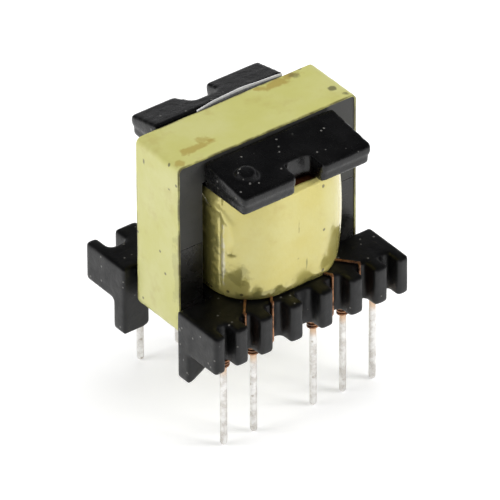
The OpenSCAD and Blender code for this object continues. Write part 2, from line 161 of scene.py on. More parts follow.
def place(tree, group, vector, **values):
    """Places a group in a material and returns its output."""
    made = add(tree, "Group", node_tree=group)
    tree.links.new(vector, made.inputs["Vector"])
    for label, value in values.items():
        made.inputs[label.replace("_", " ")].default_value = value
    return made.outputs[0]


print("groups are ready to be made")


# %% Blotches: soft patches of a chosen size
blotches, start, end = new_group("Blotches", {"Size": 0.001, "From": 0.4, "To": 0.6}, "Mask")
scale = calc(blotches, "DIVIDE", 1.0, start["Size"])
cloud = add(
    blotches, "TexNoise",
    {"Vector": start["Vector"], "Scale": scale, "Detail": 4.0, "Roughness": 0.6},
)
mask = ramp(blotches, cloud.outputs["Fac"], start["From"], start["To"])
blotches.links.new(mask, end["Mask"])
print(blotches.name, "nodes:", len(blotches.nodes))

# %% Spot: one ragged spot at a chosen place, used for real marks and for painted shade and highlights
spot, start, end = new_group(
    "Spot", {"Centre": (0.0, 0.0, 0.0), "Radius": (0.001, 0.001, 0.001), "Ragged": 0.5}, "Mask"
)
offset = add(spot, "VectorMath", {0: start["Vector"], 1: start["Centre"]}, operation="SUBTRACT")
share = add(spot, "VectorMath", {0: offset.outputs[0], 1: start["Radius"]}, operation="DIVIDE")
reach = add(spot, "VectorMath", {0: share.outputs[0]}, operation="LENGTH")
cloud = add(spot, "TexNoise", {"Vector": start["Vector"], "Scale": 1400.0, "Detail": 3.0})
ragged = calc(spot, "MULTIPLY", calc(spot, "SUBTRACT", cloud.outputs["Fac"], 0.5), start["Ragged"])
edge = calc(spot, "ADD", reach.outputs["Value"], calc(spot, "MULTIPLY", ragged, 3.0))
spot.links.new(ramp(spot, edge, 1.1, 0.5), end["Mask"])
print(spot.name, "nodes:", len(spot.nodes))

# %% Specks: scattered dust and pits
specks, start, end = new_group("Specks", {"Size": 0.0003, "Amount": 0.3}, "Mask")
scale = calc(specks, "DIVIDE", 1.0, start["Size"])
cells = add(specks, "TexVoronoi", {"Vector": start["Vector"], "Scale": scale})
where = add(specks, "SeparateColor", {"Color": cells.outputs["Color"]})
near = ramp(specks, cells.outputs["Distance"], 0.32, 0.16)
chosen = calc(specks, "LESS_THAN", where.outputs[0], start["Amount"])
specks.links.new(calc(specks, "MULTIPLY", near, chosen), end["Mask"])
print(specks.name, "nodes:", len(specks.nodes))

# %% Edge wear and sheen: where a surface turns sharply, for chipped edges and for painted edge highlights
edge_wear_and_sheen, start, end = new_group("Edge wear and sheen", {"Width": 0.0001, "Amount": 1.0}, "Mask")
rounded = add(edge_wear_and_sheen, "Bevel", {"Radius": start["Width"]}, samples=4)
plain = add(edge_wear_and_sheen, "NewGeometry")
dot = add(
    edge_wear_and_sheen, "VectorMath", {0: rounded.outputs[0], 1: plain.outputs["Normal"]},
    operation="DOT_PRODUCT",
)
turned = ramp(edge_wear_and_sheen, dot.outputs["Value"], 0.995, 0.8)
cloud = add(edge_wear_and_sheen, "TexNoise", {"Vector": start["Vector"], "Scale": 1500.0, "Detail": 3.0})
broken = ramp(edge_wear_and_sheen, cloud.outputs["Fac"], 0.35, 0.6)
amount = calc(edge_wear_and_sheen, "MULTIPLY", calc(edge_wear_and_sheen, "MULTIPLY", turned, broken), start["Amount"])
edge_wear_and_sheen.links.new(amount, end["Mask"])
print(edge_wear_and_sheen.name, "nodes:", len(edge_wear_and_sheen.nodes))

# %% Grain: fine relief for a bump
grain, start, end = new_group("Grain", {"Size": 0.0001, "Depth": 1.0}, "Height")
scale = calc(grain, "DIVIDE", 1.0, start["Size"])
cloud = add(grain, "TexNoise", {"Vector": start["Vector"], "Scale": scale, "Detail": 5.0})
grain.links.new(calc(grain, "MULTIPLY", cloud.outputs["Fac"], start["Depth"]), end["Height"])
print("effects:", [g.name for g in bpy.data.node_groups])


# %% Start a material
def new_material(name, **fixed):
    """A material with its shader and the position on the object; fixed values go on the shader."""
    made = bpy.data.materials.new(name)
    made.use_nodes = True
    tree = made.node_tree
    shader = tree.nodes["Principled BSDF"]
    for label, value in fixed.items():
        shader.inputs[label.replace("_", " ")].default_value = value
    vector = add(tree, "TexCoord").outputs["Object"]
    return made, tree, shader, vector


def bump(tree, shader, height, distance, strength):
    """Gives the surface a relief; the distance is in metres."""
    relief = add(tree, "Bump", {"Height": height, "Distance": distance, "Strength": strength})
    tree.links.new(relief.outputs[0], shader.inputs["Normal"])


print("materials are ready to be made")


# %% [markdown]
# ## Moulded former
#
# The former is moulded in black phenolic. Varnish leaves its upper flange glossy, and lower down
# it is duller. Dust and moulding pits show as pale specks, and the edges get a painted highlight,
# a paler grey where light would catch them. A painted picture could hold all that, but it would
# need the former unwrapped, so noise that is placed by position is used. Black needs contrast more
# than colour: the colour stays very dark, and most of what is seen comes from the roughness and the
# relief.

# %% Black moulding
moulding, tree, shader, at = new_material("Black moulding", Specular_IOR_Level=0.42)
clouds = place(tree, blotches, at, Size=0.0024, From=0.35, To=0.7)
colour = blend(tree, clouds, rgb(0.0018, 0.0018, 0.0020), rgb(0.0050, 0.0050, 0.0052))
dust = place(tree, specks, at, Size=0.00034, Amount=0.06)
colour = blend(tree, calc(tree, "MULTIPLY", dust, 0.45), colour, rgb(0.32, 0.31, 0.29))
# Painted highlight: the edges are made paler grey, as if they caught the light.
rim = place(tree, edge_wear_and_sheen, at, Width=0.00012, Amount=0.6)
colour = blend(tree, calc(tree, "MULTIPLY", rim, 0.35), colour, rgb(0.16, 0.16, 0.165))
tree.links.new(colour, shader.inputs["Base Color"])
height = add(tree, "SeparateXYZ", {0: at}).outputs["Z"]
glossy = ramp(tree, height, 0.009, 0.014, 0.34, 0.2)
patchy = place(tree, blotches, at, Size=0.0009, From=0.3, To=0.75)
rough = calc(tree, "ADD", glossy, calc(tree, "MULTIPLY", patchy, 0.16))
tree.links.new(rough, shader.inputs["Roughness"])
relief = calc(
    tree, "ADD",
    place(tree, grain, at, Size=0.00012, Depth=0.35),
    place(tree, grain, at, Size=0.0009, Depth=1.6),
)
bump(tree, shader, calc(tree, "ADD", relief, calc(tree, "MULTIPLY", dust, 0.5)), 0.00004, 0.8)
print(moulding.name, "nodes:", len(tree.nodes))

# %% [markdown]
# ## Ferrite
#
# Both halves are fine-grained ceramic. The upper one is bare and dull, while the varnish that ran
# down has wetted the lower one, so it is darker and shinier. One material with a change at the
# joint would do, but the halves are separate pieces, so one function makes two materials.

# %% Ferrite, bare and varnished
def ferrite(name, dark, light, roughness):
    """Fine ceramic with chipped, paler edges."""
    made, tree, shader, at = new_material(name)
    clouds = place(tree, blotches, at, Size=0.0018, From=0.3, To=0.7)
    colour = blend(tree, clouds, dark, light)
    pits = place(tree, specks, at, Size=0.00022, Amount=0.12)
    colour = blend(tree, calc(tree, "MULTIPLY", pits, 0.6), colour, rgb(0.006, 0.006, 0.006))
    rim = place(tree, edge_wear_and_sheen, at, Width=0.00015, Amount=1.0)
    colour = blend(tree, calc(tree, "MULTIPLY", rim, 0.5), colour, rgb(0.16, 0.155, 0.15))
    tree.links.new(colour, shader.inputs["Base Color"])
    rough = calc(tree, "ADD", roughness, calc(tree, "MULTIPLY", clouds, 0.12))
    tree.links.new(rough, shader.inputs["Roughness"])
    bump(tree, shader, place(tree, grain, at, Size=0.00008, Depth=1.0), 0.000012, 0.8)
    return made


bare_ferrite = ferrite("Bare ferrite", rgb(0.040, 0.040, 0.037), rgb(0.058, 0.058, 0.054), 0.5)
wet_ferrite = ferrite("Varnished ferrite", rgb(0.008, 0.008, 0.007), rgb(0.016, 0.015, 0.013), 0.22)
print("ferrites:", bare_ferrite.name, "and", wet_ferrite.name)

# %% [markdown]
# ## Tape
#
# Yellow polyester film with a little milkiness. Varnish has left ragged brown spots on it, and
# black dirt sticks to the corners. Plies of clear film throw back more light than one surface
# does, and they tint it yellow. Many thin layers could be modelled for that, but they would be
# slow and grainy, so a share of Metallic does the same job on one skin. Both tapes share one
# recipe, with their own spots: varnish and dirt on the core's tape, and on the coil's tape
# painted shade and one painted highlight.

# %% Tape colours
TAPE_YELLOW = rgb(0.62, 0.605, 0.20)
TAPE_PALE = rgb(0.74, 0.73, 0.40)
TAPE_AMBER = rgb(0.44, 0.33, 0.075)
TAPE_OLIVE = rgb(0.22, 0.205, 0.055)
DIRT = rgb(0.05, 0.042, 0.03)


def add_marks_and_painted_light(tree, at, colour, marks_and_painted_light):
    """Adds spots to a colour, for real marks and for painted light; each has a centre and radii in
    mm, a tint and a strength.
    """
    for centre, radii, tint, strength in marks_and_painted_light:
        mask = place(
            tree, spot, at, Ragged=0.9,
            Centre=tuple(c * MM for c in centre), Radius=tuple(r * MM for r in radii),
        )
        colour = blend(tree, calc(tree, "MULTIPLY", mask, strength), colour, tint)
    return colour


def tape(name, base, marks_and_painted_light, roughness, rim_darkening, **fixed):
    """Polyester tape with soft clouds, spots for varnish, dirt and painted light, darker rims and
    dirt specks.
    """
    made, tree, shader, at = new_material(name, **fixed)
    clouds = place(tree, blotches, at, Size=0.0045, From=0.35, To=0.75)
    colour = blend(tree, calc(tree, "MULTIPLY", clouds, 0.35), base, TAPE_PALE)
    tint = place(tree, blotches, at, Size=0.0021, From=0.52, To=0.8)
    colour = blend(tree, calc(tree, "MULTIPLY", tint, 0.35), colour, TAPE_AMBER)
    colour = add_marks_and_painted_light(tree, at, colour, marks_and_painted_light)
    # Darker brown along both rims of the tape.
    across = add(tree, "SeparateXYZ", {0: at}).outputs["Y"]
    off = calc(tree, "ABSOLUTE", calc(tree, "SUBTRACT", across, MIDDLE_Y))
    fringe = calc(tree, "MULTIPLY", ramp(tree, off, 0.00238, 0.00258), rim_darkening)
    broken = place(tree, blotches, at, Size=0.0016, From=0.35, To=0.6)
    colour = blend(tree, calc(tree, "MULTIPLY", fringe, broken), colour, rgb(0.11, 0.085, 0.035))
    flecks = place(tree, specks, at, Size=0.0006, Amount=0.03)
    colour = blend(tree, calc(tree, "MULTIPLY", flecks, 0.75), colour, DIRT)
    tree.links.new(colour, shader.inputs["Base Color"])
    patchy = place(tree, blotches, at, Size=0.0013, From=0.3, To=0.7)
    rough = calc(tree, "ADD", roughness, calc(tree, "MULTIPLY", patchy, 0.15))
    tree.links.new(rough, shader.inputs["Roughness"])
    relief = calc(
        tree, "ADD",
        place(tree, grain, at, Size=0.00035, Depth=0.5),
        place(tree, grain, at, Size=0.0028, Depth=2.0),
    )
    bump(tree, shader, relief, 0.00003, 0.8)
    return made


print("the tape recipe is ready")

# %% The two tapes' spots, in mm from the origin: varnish and dirt on the core's tape, painted shade and a painted highlight on the coil's tape
TOP = tape_high[2] / MM
CX, CY = MIDDLE_X / MM, MIDDLE_Y / MM
core_stains = [
    ((CX - 5.3, CY - 1.1, TOP), (1.5, 0.5, 0.8), TAPE_AMBER, 0.75),
    ((CX - 4.4, CY - 0.6, TOP), (0.6, 0.5, 0.8), TAPE_AMBER, 0.6),
    ((CX + 4.6, CY + 2.1, TOP), (2.2, 0.5, 0.8), TAPE_AMBER, 0.8),
    ((CX + 6.0, CY + 2.0, TOP), (0.5, 0.4, 0.8), DIRT, 0.45),
    ((CX + 7.1, CY - 1.0, TOP), (0.4, 0.35, 0.8), DIRT, 0.7),
    ((CX + 7.6, CY - 2.1, TOP), (0.25, 0.3, 0.8), DIRT, 0.6),
    ((CX - 7.6, CY - 1.9, TOP), (0.4, 0.5, 0.8), TAPE_AMBER, 0.7),
    ((CX - 8.2, CY + 1.6, TOP - 1.6), (0.5, 0.15, 0.3), DIRT, 0.7),
    ((CX - 8.2, CY - 2.3, TOP - 9.0), (0.5, 0.5, 3.5), TAPE_OLIVE, 0.25),
]
# Painted light on the coil's tape: a highlight at the tape's end, and shade low down, at the left
# end and in creases.
coil_painted_light = [
    # Pale streak along the step where the tape ends: the varnish's edge, brightened as a painted
    # highlight.
    ((CX - 5.35, CY - 4.2, 9.8), (0.15, 0.22, 2.5), rgb(0.72, 0.68, 0.50), 0.75),
    # Painted shade: a darker olive patch at the lower left, under the ferrite leg and the wing.
    ((CX - 4.7, CY - 5.0, 8.3), (0.8, 1.2, 1.0), TAPE_OLIVE, 0.45),
    # Painted shade and a painted reflection of the black former along the lower rim.
    ((CX - 2.6, CY - 6.0, 6.4), (3.0, 1.4, 0.7), TAPE_OLIVE, 0.6),
    ((CX + 1.2, CY - 6.4, 6.1), (2.4, 1.0, 0.4), TAPE_OLIVE, 0.5),
    # Painted shade on the left end, beside the ferrite leg.
    ((CX - 5.6, CY - 2.4, 9.5), (0.6, 1.5, 6.0), TAPE_OLIVE, 0.75),
    # Painted shade in two thin creases.
    ((CX - 0.3, CY - 6.5, 11.6), (0.12, 0.6, 0.8), TAPE_OLIVE, 0.7),
    ((CX + 0.5, CY - 6.5, 8.0), (0.10, 0.6, 0.5), TAPE_OLIVE, 0.7),
]
core_tape_finish = tape(
    "Core tape", TAPE_YELLOW, core_stains, 0.30, 0.8,
    Metallic=0.12, Coat_Weight=0.35, Coat_Roughness=0.22,
)
coil_tape_finish = tape(
    "Coil tape", rgb(0.64, 0.56, 0.165), coil_painted_light, 0.10, 0.0,
    Metallic=0.38, Coat_Weight=0.5, Coat_Roughness=0.05,
)

# %% [markdown]
# ## Metal and film
#
# The pins are wire dipped in solder, so they are bright and dull in turns. The leads are enamelled
# copper, which is copper under a thin coat. The strip behind the core is clear film that only
# shows by its gloss and its edge. Refraction would hardly be seen in so thin a sheet, so the film
# is mostly transparent instead, and more solid along its cut edge.

# %% Tinned wire
tinned, tree, shader, at = new_material("Tinned wire", Metallic=1.0)
clouds = place(tree, blotches, at, Size=0.0007, From=0.35, To=0.65)
colour = blend(tree, clouds, rgb(0.60, 0.575, 0.54), rgb(0.86, 0.85, 0.83))
marks = place(tree, specks, at, Size=0.0005, Amount=0.16)
colour = blend(tree, calc(tree, "MULTIPLY", marks, 0.6), colour, rgb(0.30, 0.24, 0.17))
height = add(tree, "SeparateXYZ", {0: at}).outputs["Z"]
bare = ramp(tree, height, 0.0007, 0.0016)
colour = blend(tree, calc(tree, "MULTIPLY", bare, 0.7), colour, rgb(0.62, 0.36, 0.17))
tree.links.new(colour, shader.inputs["Base Color"])
rough = calc(tree, "ADD", 0.26, calc(tree, "MULTIPLY", clouds, 0.18))
tree.links.new(rough, shader.inputs["Roughness"])
bump(tree, shader, place(tree, grain, at, Size=0.0004, Depth=1.0), 0.00004, 0.7)
print(tinned.name, "nodes:", len(tree.nodes))


# %% Enamelled copper
def copper(name, dark, light):
    """Copper under a thin enamel."""
    made, tree, shader, at = new_material(
        name, Metallic=0.85, Coat_Weight=0.6, Coat_Roughness=0.06
    )
    clouds = place(tree, blotches, at, Size=0.0005, From=0.3, To=0.7)
    tree.links.new(blend(tree, clouds, dark, light), shader.inputs["Base Color"])
    rough = calc(tree, "ADD", 0.25, calc(tree, "MULTIPLY", clouds, 0.2))
    tree.links.new(rough, shader.inputs["Roughness"])
    bump(tree, shader, place(tree, grain, at, Size=0.0003, Depth=1.0), 0.00002, 0.6)
    return made


lead_copper = copper("Enamelled lead", rgb(0.07, 0.028, 0.012), rgb(0.55, 0.25, 0.11))
winding_copper = copper("Winding copper", rgb(0.22, 0.055, 0.02), rgb(0.42, 0.14, 0.05))
print("coppers:", lead_copper.name, "and", winding_copper.name)

# %% Clear film
film_finish, tree, shader, at = new_material("Clear film", IOR=1.6)
clouds = place(tree, blotches, at, Size=0.0012, From=0.3, To=0.7)
colour = blend(tree, clouds, rgb(0.70, 0.70, 0.71), rgb(0.92, 0.92, 0.92))
tree.links.new(colour, shader.inputs["Base Color"])
height = add(tree, "SeparateXYZ", {0: at}).outputs["Z"]
rim = ramp(tree, height, film_high[2] - 0.00030, film_high[2] - 0.00018)
tree.links.new(calc(tree, "ADD", 0.16, calc(tree, "MULTIPLY", rim, 0.7)), shader.inputs["Alpha"])
rough = calc(tree, "ADD", 0.08, calc(tree, "MULTIPLY", clouds, 0.12))
tree.links.new(rough, shader.inputs["Roughness"])
print("materials:", len(bpy.data.materials))


# %% [markdown]
# ## Sheets and strands
#
# A wound tape is a closed band. It could be a curve with a flat section, but its plies, folds and
# steps change along the way. So a ring of points is laid at each station along it, and the rings
# are joined into a skin. The same function makes a wire, whose two ends get a cap each.

# %% Join rings into a skin
def skin(name, rings, closed, finish):
    """Makes a smooth piece from rings of equally many points, closed into a loop or capped."""
    mesh = bpy.data.meshes.new(name)
    built = bmesh.new()
    rows = [[built.verts.new(p) for p in ring] for ring in rings]
    size = len(rings[0])
    for i in range(len(rows) if closed else len(rows) - 1):
        this, following = rows[i], rows[(i + 1) % len(rows)]
        for k in range(size):
            m = (k + 1) % size
            built.faces.new((this[k], this[m], following[m], following[k]))
    if not closed:
        built.faces.new(rows[0][::-1])
        built.faces.new(rows[-1])
    bmesh.ops.recalc_face_normals(built, faces=built.faces)
    for face in built.faces:
        face.smooth = True
    built.to_mesh(mesh)
    built.free()
    mesh.materials.append(finish)
    piece = bpy.data.objects.new(name, mesh)
    bpy.context.scene.collection.objects.link(piece)
    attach(piece, "root")
    return piece


def sharpen(piece, degrees=40.0):
    """Keeps edges crisp where two faces meet at more than this angle."""
    mesh = piece.data
    built = bmesh.new()
    built.from_mesh(mesh)
    for edge in built.edges:
        if len(edge.link_faces) == 2 and edge.calc_face_angle() > math.radians(degrees):
            edge.smooth = False
    built.to_mesh(mesh)
    built.free()


def wave(x, y, z, seed):
    """Smooth noise from -1 to 1, with coordinates in waves."""
    return noise.noise(Vector((x + 17.3 * seed, y - 9.1 * seed, z + 5.7 * seed)))


print("skins and waves are ready")


# %% [markdown]
# ## Tape round the core
#
# Three turns of tape bind the halves. Their edges don't lie quite in line, so a thin step shows
# along each rim, and the tape creases a little where it bends over the core's corners. A box with
# rounded corners would be quicker, but then the plies would be missing. Each ring here is a
# section through all three plies.

# %% Outline of a rounded rectangle
def outline(half_a, half_b, radius, spacing):
    """Points and outward directions round a rounded rectangle, evenly spaced."""
    straight_a, straight_b = 2 * (half_a - radius), 2 * (half_b - radius)
    arc = math.pi / 2 * radius
    lengths = [straight_b, arc, straight_a, arc] * 2
    total = sum(lengths)
    count = int(total / spacing)
    corners = [(1, 1), (-1, 1), (-1, -1), (1, -1)]
    points = []
    for i in range(count):
        s = (i + 0.5) * total / count
        leg = 0
        while s > lengths[leg]:
            s -= lengths[leg]
            leg += 1
        quarter = leg // 2
        if leg % 2 == 0:
            angle = quarter * math.pi / 2
            side = half_a if quarter % 2 == 0 else half_b
            along = s - lengths[leg] / 2
            normal = (math.cos(angle), math.sin(angle))
            points.append((side * normal[0] - along * normal[1],
                           side * normal[1] + along * normal[0], *normal))
        else:
            angle = quarter * math.pi / 2 + s / radius
            sign_a, sign_b = corners[quarter]
            normal = (math.cos(angle), math.sin(angle))
            points.append((sign_a * (half_a - radius) + radius * normal[0],
                           sign_b * (half_b - radius) + radius * normal[1], *normal))
    return points


print("outlines are ready")

# %% Build the core's tape
PLIES = 3
PLY = 0.055 * MM
CORE_CORNER = 0.515 * MM
CORE_STATION = 0.2 * MM
RELIEF, CREASE_DEPTH, EDGE_DROP, CORE_INSET = 0.012, 0.03, 0.02, 0.012
SLIP, RIM_INSET, MIDDLE_PLY_INSET = 0.035, 0.03, 0.03
half_w = (tape_high[0] - tape_low[0]) / 2
half_h = (tape_high[2] - tape_low[2]) / 2
half_d = (tape_high[1] - tape_low[1]) / 2
COLUMNS = 20
rings = []
for a, b, na, nb in outline(half_w, half_h, CORE_CORNER, CORE_STATION):
    corner = max(0.0, 1.0 - (abs(abs(a) - half_w) + abs(abs(b) - half_h)) / (1.2 * MM))
    ring = []

    def point(out, y):
        ring.append((MIDDLE_X + a + na * out, MIDDLE_Y + y, TAPE_MIDDLE_Z + b + nb * out))

    def rim(ply, side):
        slip = SLIP * wave(a * 500, b * 500, side, ply + 1)
        slip += MIDDLE_PLY_INSET if ply == 1 else 0.0
        return side * (half_d - (RIM_INSET + slip) * MM)

    last = PLIES - 1
    for k in range(COLUMNS + 1):
        y = rim(last, -1) + (rim(last, 1) - rim(last, -1)) * k / COLUMNS
        relief = RELIEF * wave(a * 260, y * 700, b * 260, 4)
        crease = CREASE_DEPTH * corner * wave(a * 900, y * 2400, b * 900, 7)
        drop = EDGE_DROP if k in (0, COLUMNS) else 0.0
        point((relief + crease - drop - CORE_INSET) * MM, y)
    for ply in range(last, -1, -1):
        y = rim(ply, 1)
        if ply < last:
            point(-(last - ply) * PLY, y)
        point(-(last - ply + 0.85) * PLY, y - (0.02 * MM if ply else 0.0))
    for ply in range(PLIES):
        y = rim(ply, -1)
        point(-(last - ply + 0.85) * PLY, y + (0.02 * MM if ply else 0.0))
        if ply < last:
            point(-(last - ply) * PLY, y)
    rings.append(ring)
core_wrap = skin("core_wrap", rings, True, core_tape_finish)
sharpen(core_wrap, 50.0)
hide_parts("core_tape")
print("core wrap stations:", len(rings))

# %% [markdown]
# ## Tape round the coil
#
# The coil's tape swells between the flanges, because the windings under it do. Its last turn ends
# in a low step near the front left corner, its lower edge is tucked in, a crease runs down from
# under the wing, and broad soft folds cross it. Cloth simulation could give folds, but not these
# ones in these places, so each is a small height added to the band where it belongs.

# %% Build the coil's tape
COIL_HALF_X = (coil_high[0] - coil_low[0]) / 2
COIL_HALF_Y = (coil_high[1] - coil_low[1]) / 2
COIL_CORNER = 3.89 * MM
COIL_TAPE = 0.2 * MM
COIL_STATION = 0.16 * MM
ROWS = 60
SWELL, TUCK_LOW, TUCK_HIGH, COIL_INSET = 0.30, 0.16, 0.10, 0.07
END_STEP, FOLD, FINE_FOLD, RIDGE, BEAD = 0.10, 0.10, 0.035, 0.16, 0.14
CREASE = [(2.47, 14.3), (4.53, 13.6), (5.30, 12.65), (5.59, 11.4), (5.2, 10.3)]
BEAD_AT = (2.6, 6.45)
tape_end = Vector((-5.2, -3.95)).normalized()


def off_crease(s, z):
    """Distance in mm from the crease, a broken line on the unrolled tape."""
    best = 9.0
    for (s0, z0), (s1, z1) in zip(CREASE, CREASE[1:]):
        ds, dz = s1 - s0, z1 - z0
        t = min(1.0, max(0.0, ((s - s0) * ds + (z - z0) * dz) / (ds * ds + dz * dz)))
        best = min(best, math.hypot(s - s0 - t * ds, z - z0 - t * dz))
    return best


rings = []
for a, b, na, nb in outline(COIL_HALF_X, COIL_HALF_Y, COIL_CORNER, COIL_STATION):
    facing = Vector((a, b)).normalized()
    turn = math.atan2(tape_end.x * facing.y - tape_end.y * facing.x, tape_end.dot(facing))
    around = 6.9 * math.atan2(-b, -a)
    step = END_STEP * max(0.0, 1.0 - max(0.0, turn) / 2.6) if turn > 0 else 0.0
    room = min(1.0, max(0.0, (abs(b) - 2.2 * MM) / (1.5 * MM)))
    ring = []
    for k in range(ROWS + 1):
        share = k / ROWS
        z = coil_low[2] + share * (coil_high[2] - coil_low[2])
        swell = SWELL * room * math.sin(math.pi * share) ** 0.6
        tuck = -TUCK_LOW * max(0.0, 1.0 - share / 0.06)
        tuck -= TUCK_HIGH * max(0.0, 1.0 - (1 - share) / 0.05)
        height = z / MM
        ridge = RIDGE * math.exp(-(off_crease(around, height) / 0.28) ** 2)
        if b < 0:
            along, above = (a / MM - BEAD_AT[0]) / 0.5, (height - BEAD_AT[1]) / 0.2
            ridge += BEAD * math.exp(-along**2 - above**2)
        folds = FOLD * room * wave(a * 190, b * 190, z * 130, 3)
        folds += FINE_FOLD * room * wave(a * 420 + z * 300, b * 420, z * 260, 5)
        out = (swell + tuck + folds + ridge + step - COIL_INSET) * MM
        ring.append((MIDDLE_X + a + na * out, MIDDLE_Y + b + nb * out, z))
    for k in (ROWS, 0):
        z = ring[k][2]
        ring.append((MIDDLE_X + a - na * COIL_TAPE, MIDDLE_Y + b - nb * COIL_TAPE, z))
    rings.append(ring)
coil_wrap = skin("coil_wrap", rings, True, coil_tape_finish)
sharpen(coil_wrap, 60.0)
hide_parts("coil_tape")
print("coil wrap stations:", len(rings))

# %% [markdown]
# ## Film behind the core
#
# A strip of clear film stands bowed between the core and the rear flange. Its upper edge isn't
# cut quite straight. A single sheet of faces would look the same from most sides, but a closed
# sheet with a real thickness shows its cut edge, which is what the eye finds first.

# %% Build the film
FILM_COLUMNS, FILM_ROWS = 40, 6
FILM_T = 0.08 * MM
film_mid = (film_low[0] + film_high[0]) / 2
film_half = (film_high[0] - film_low[0]) / 2
bow = film_high[1] - film_low[1] - FILM_T
rings = []
for i in range(FILM_COLUMNS + 1):
    u = 2 * i / FILM_COLUMNS - 1
    x = film_mid + u * film_half
    y = film_low[1] + bow * (1 - u * u)
    top = film_high[2] - 0.12 * MM * (1 + wave(u * 2.0, 0.0, 0.0, 6)) * (0.4 + 0.6 * abs(u))
    heights = [film_low[2] + (top - film_low[2]) * k / FILM_ROWS for k in range(FILM_ROWS + 1)]
    rings.append([(x, y, z) for z in heights] + [(x, y + FILM_T, z) for z in heights[::-1]])
film_sheet = skin("film_sheet", rings, False, film_finish)
sharpen(film_sheet, 50.0)
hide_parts("film_strip")
print("film faces:", len(film_sheet.data.polygons))

# %% [markdown]
# ## Leads
#
# Each lead comes out under the coil's tape, crosses the lower flange, drops through its slot and
# winds two and a half turns round the root of its pin. A curve object with a round bevel could
# draw it. Here the route is a list of points, a smooth curve runs through them, and a ring is laid
# at each step, so the wire joins the other pieces as plain mesh.

# %% Sizes that the leads follow, in mm from the middle of the core
RAIL_TOP, RAIL_UNDER = 5.865, 2.535
PIN_ROW, PIN_ROOT = 6.23, 0.25
FRONT_OUT, REAR_OUT = 6.65, 6.34
CLEAR = 0.03
WRAP_TURNS = 2.5
LEADS = {
    1: (-6.925, -5.295, 0.72), 2: (-4.155, -2.77, 0.72), 4: (1.385, 2.77, 0.72),
    5: (4.155, 5.295, 0.72), 7: (5.325, 3.55, 1.0), 8: (1.775, 0.33, 1.0),
    9: (-1.775, -0.33, 1.0), 10: (-5.325, -3.55, 1.0),
}
print("leads to make:", sorted(LEADS))


# %% Follow a lead from the coil to its pin
def lead_route(pin_x, slot_x, gather, radius, out):
    """The lead's points in mm for a wire of the given radius, drawn as a front lead."""
    bend = radius + CLEAR
    under = 2 * bend
    row = out + bend
    top, low = RAIL_TOP + bend, RAIL_UNDER - bend
    side = math.copysign(1.0, slot_x - pin_x)
    turn = PIN_ROOT + bend
    start_x = slot_x * gather
    slope = max(0.0, abs(start_x) - 1.65)
    start_y = 0.6 - (2.55 + math.sqrt(max(0.0, 3.63**2 - slope**2)))
    points = [(start_x, start_y, top), ((start_x + slot_x) / 2, (start_y - row + bend) / 2, top)]
    for a in (0, 30, 60, 90):
        s, c = math.sin(math.radians(a)), math.cos(math.radians(a))
        points.append((slot_x, -row + bend * (1 - s), top - bend * (1 - c)))
    points.append((slot_x, -row, (top + low) / 2))
    for a in (0, 30, 60, 90):
        s, c = math.sin(math.radians(a)), math.cos(math.radians(a))
        points.append((slot_x - side * under * (1 - c), -row, low + under * (1 - s)))
    for i in range(int(WRAP_TURNS * 16) + 1):
        a = math.radians(-90 - side * i * 22.5)
        drop = (2 * radius + CLEAR) * i / 16
        points.append((pin_x + turn * math.cos(a), -PIN_ROW + turn * math.sin(a), low - drop))
    return points


print("routes are ready")


# %% Sweep round wires along the routes
def smooth_path(points, steps=3):
    """A Catmull-Rom curve through the points."""
    p = [Vector(q) for q in points]
    p = [2 * p[0] - p[1]] + p + [2 * p[-1] - p[-2]]
    made = []
    for i in range(1, len(p) - 2):
        for s in range(steps):
            t = s / steps
            made.append(0.5 * (2 * p[i] + (p[i + 1] - p[i - 1]) * t
                               + (2 * p[i - 1] - 5 * p[i] + 4 * p[i + 1] - p[i + 2]) * t * t
                               + (3 * p[i] - p[i - 1] - 3 * p[i + 1] + p[i + 2]) * t**3))
    made.append(p[-2])
    return made


def tube_rings(path, radius, sides=12):
    """Rings of points round a path, carried along it without twist."""
    across = Vector((0, 0, 1)).cross(path[1] - path[0]).normalized()
    rings = []
    for i, here in enumerate(path):
        ahead = (path[min(i + 1, len(path) - 1)] - path[max(i - 1, 0)]).normalized()
        across = (across - ahead * across.dot(ahead)).normalized()
        third = ahead.cross(across)
        rings.append([
            here + radius * (math.cos(2 * math.pi * k / sides) * across
                             + math.sin(2 * math.pi * k / sides) * third)
            for k in range(sides)
        ])
    return rings


for pin, (pin_x, slot_x, gather) in LEADS.items():
    at_rear = pin > 6
    radius = 0.15 if at_rear else 0.11
    route = lead_route(pin_x, slot_x, gather, radius, REAR_OUT if at_rear else FRONT_OUT)
    flip = -1 if at_rear else 1
    world = [Vector((MIDDLE_X + x * MM, MIDDLE_Y + flip * y * MM, z * MM)) for x, y, z in route]
    rings = tube_rings(smooth_path(world), radius * MM)
    wire = skin(f"wire_{pin}", rings, False, lead_copper)
    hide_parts(f"lead_{pin}")
print("wires:", len(LEADS))

# %% [markdown]
# ## Finishes on the exact pieces
#
# The ferrite, the windings and the pins keep their exact shapes and only get materials. The
# former's moulded edges are softer than they can be drawn with exact solids. Each could be
# bevelled, but short edges round the slots would break a bevel, so an even skin is laid over the
# whole former and relaxed.

# %% Soften the former's edges
former = nodes["coil_former"]
soft = former.modifiers.new("even skin", "REMESH")
soft.mode = "VOXEL"
soft.voxel_size = 0.14 * MM
soft.use_smooth_shade = True
relax = former.modifiers.new("soft edges", "SMOOTH")
relax.factor = 0.5
relax.iterations = 10
shown = former.evaluated_get(bpy.context.evaluated_depsgraph_get())
print("former triangles:", sum(len(f.vertices) - 2 for f in shown.to_mesh().polygons))
shown.to_mesh_clear()

